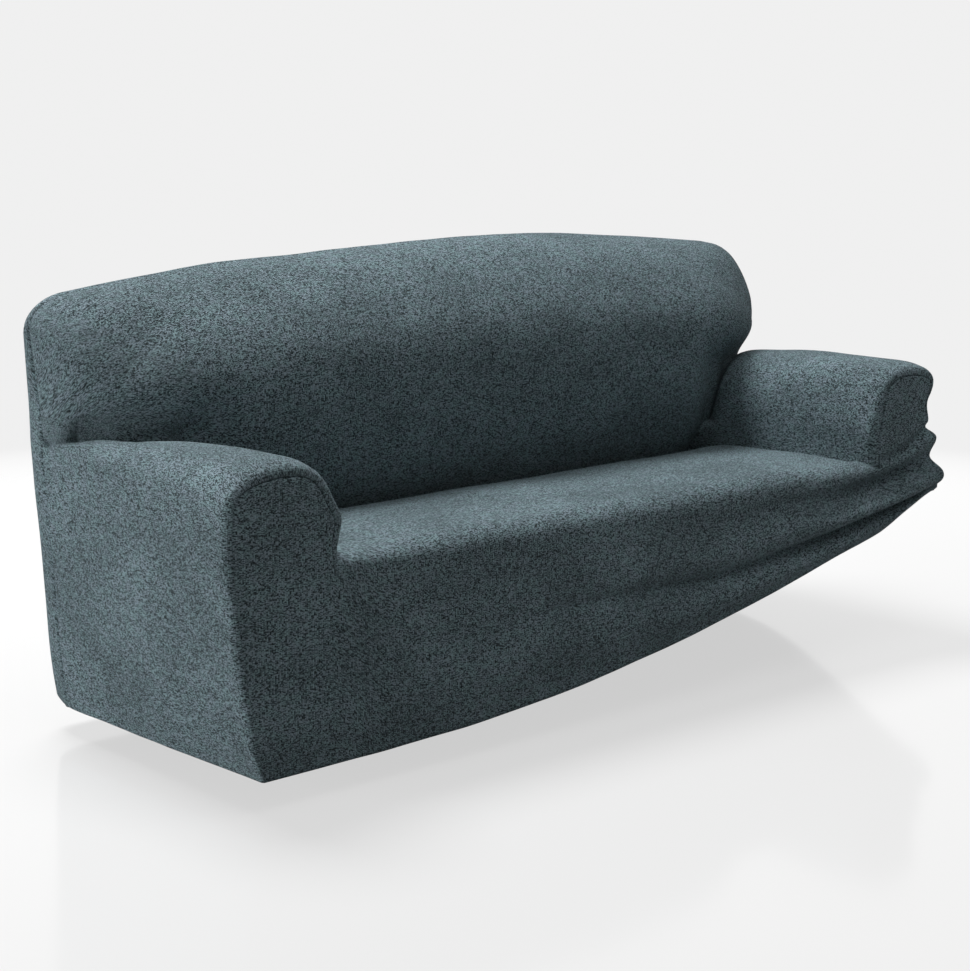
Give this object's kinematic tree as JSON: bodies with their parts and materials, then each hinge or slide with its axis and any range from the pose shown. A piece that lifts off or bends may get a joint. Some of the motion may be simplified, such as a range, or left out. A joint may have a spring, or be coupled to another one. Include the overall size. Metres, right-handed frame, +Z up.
{
  "type": "sofa slipcover",
  "caption": "Fitted stretch slipcover for a sofa with rounded arms and a rounded back, hollow and open below, its hem pulled up into folds at one front corner.",
  "frame": {"origin": "under the crown of the back at mid-length, where the covered sofa holds the cloth up", "axes": "+X along the length of the sofa towards the arm on the right as seen from the front, -Y towards the front of the seat, +Z up"},
  "size_m": [2.0271, 0.769, 0.8961],
  "materials": {
    "cover_cloth": "matte melange stretch weave with a crinkled surface"
  },
  "bodies": {
    "root": {"seat_and_front": "cover_cloth", "arm_left": "cover_cloth", "arm_right": "cover_cloth", "inside_back": "cover_cloth", "rear_panel": "cover_cloth"}
  },
  "joints": []
}
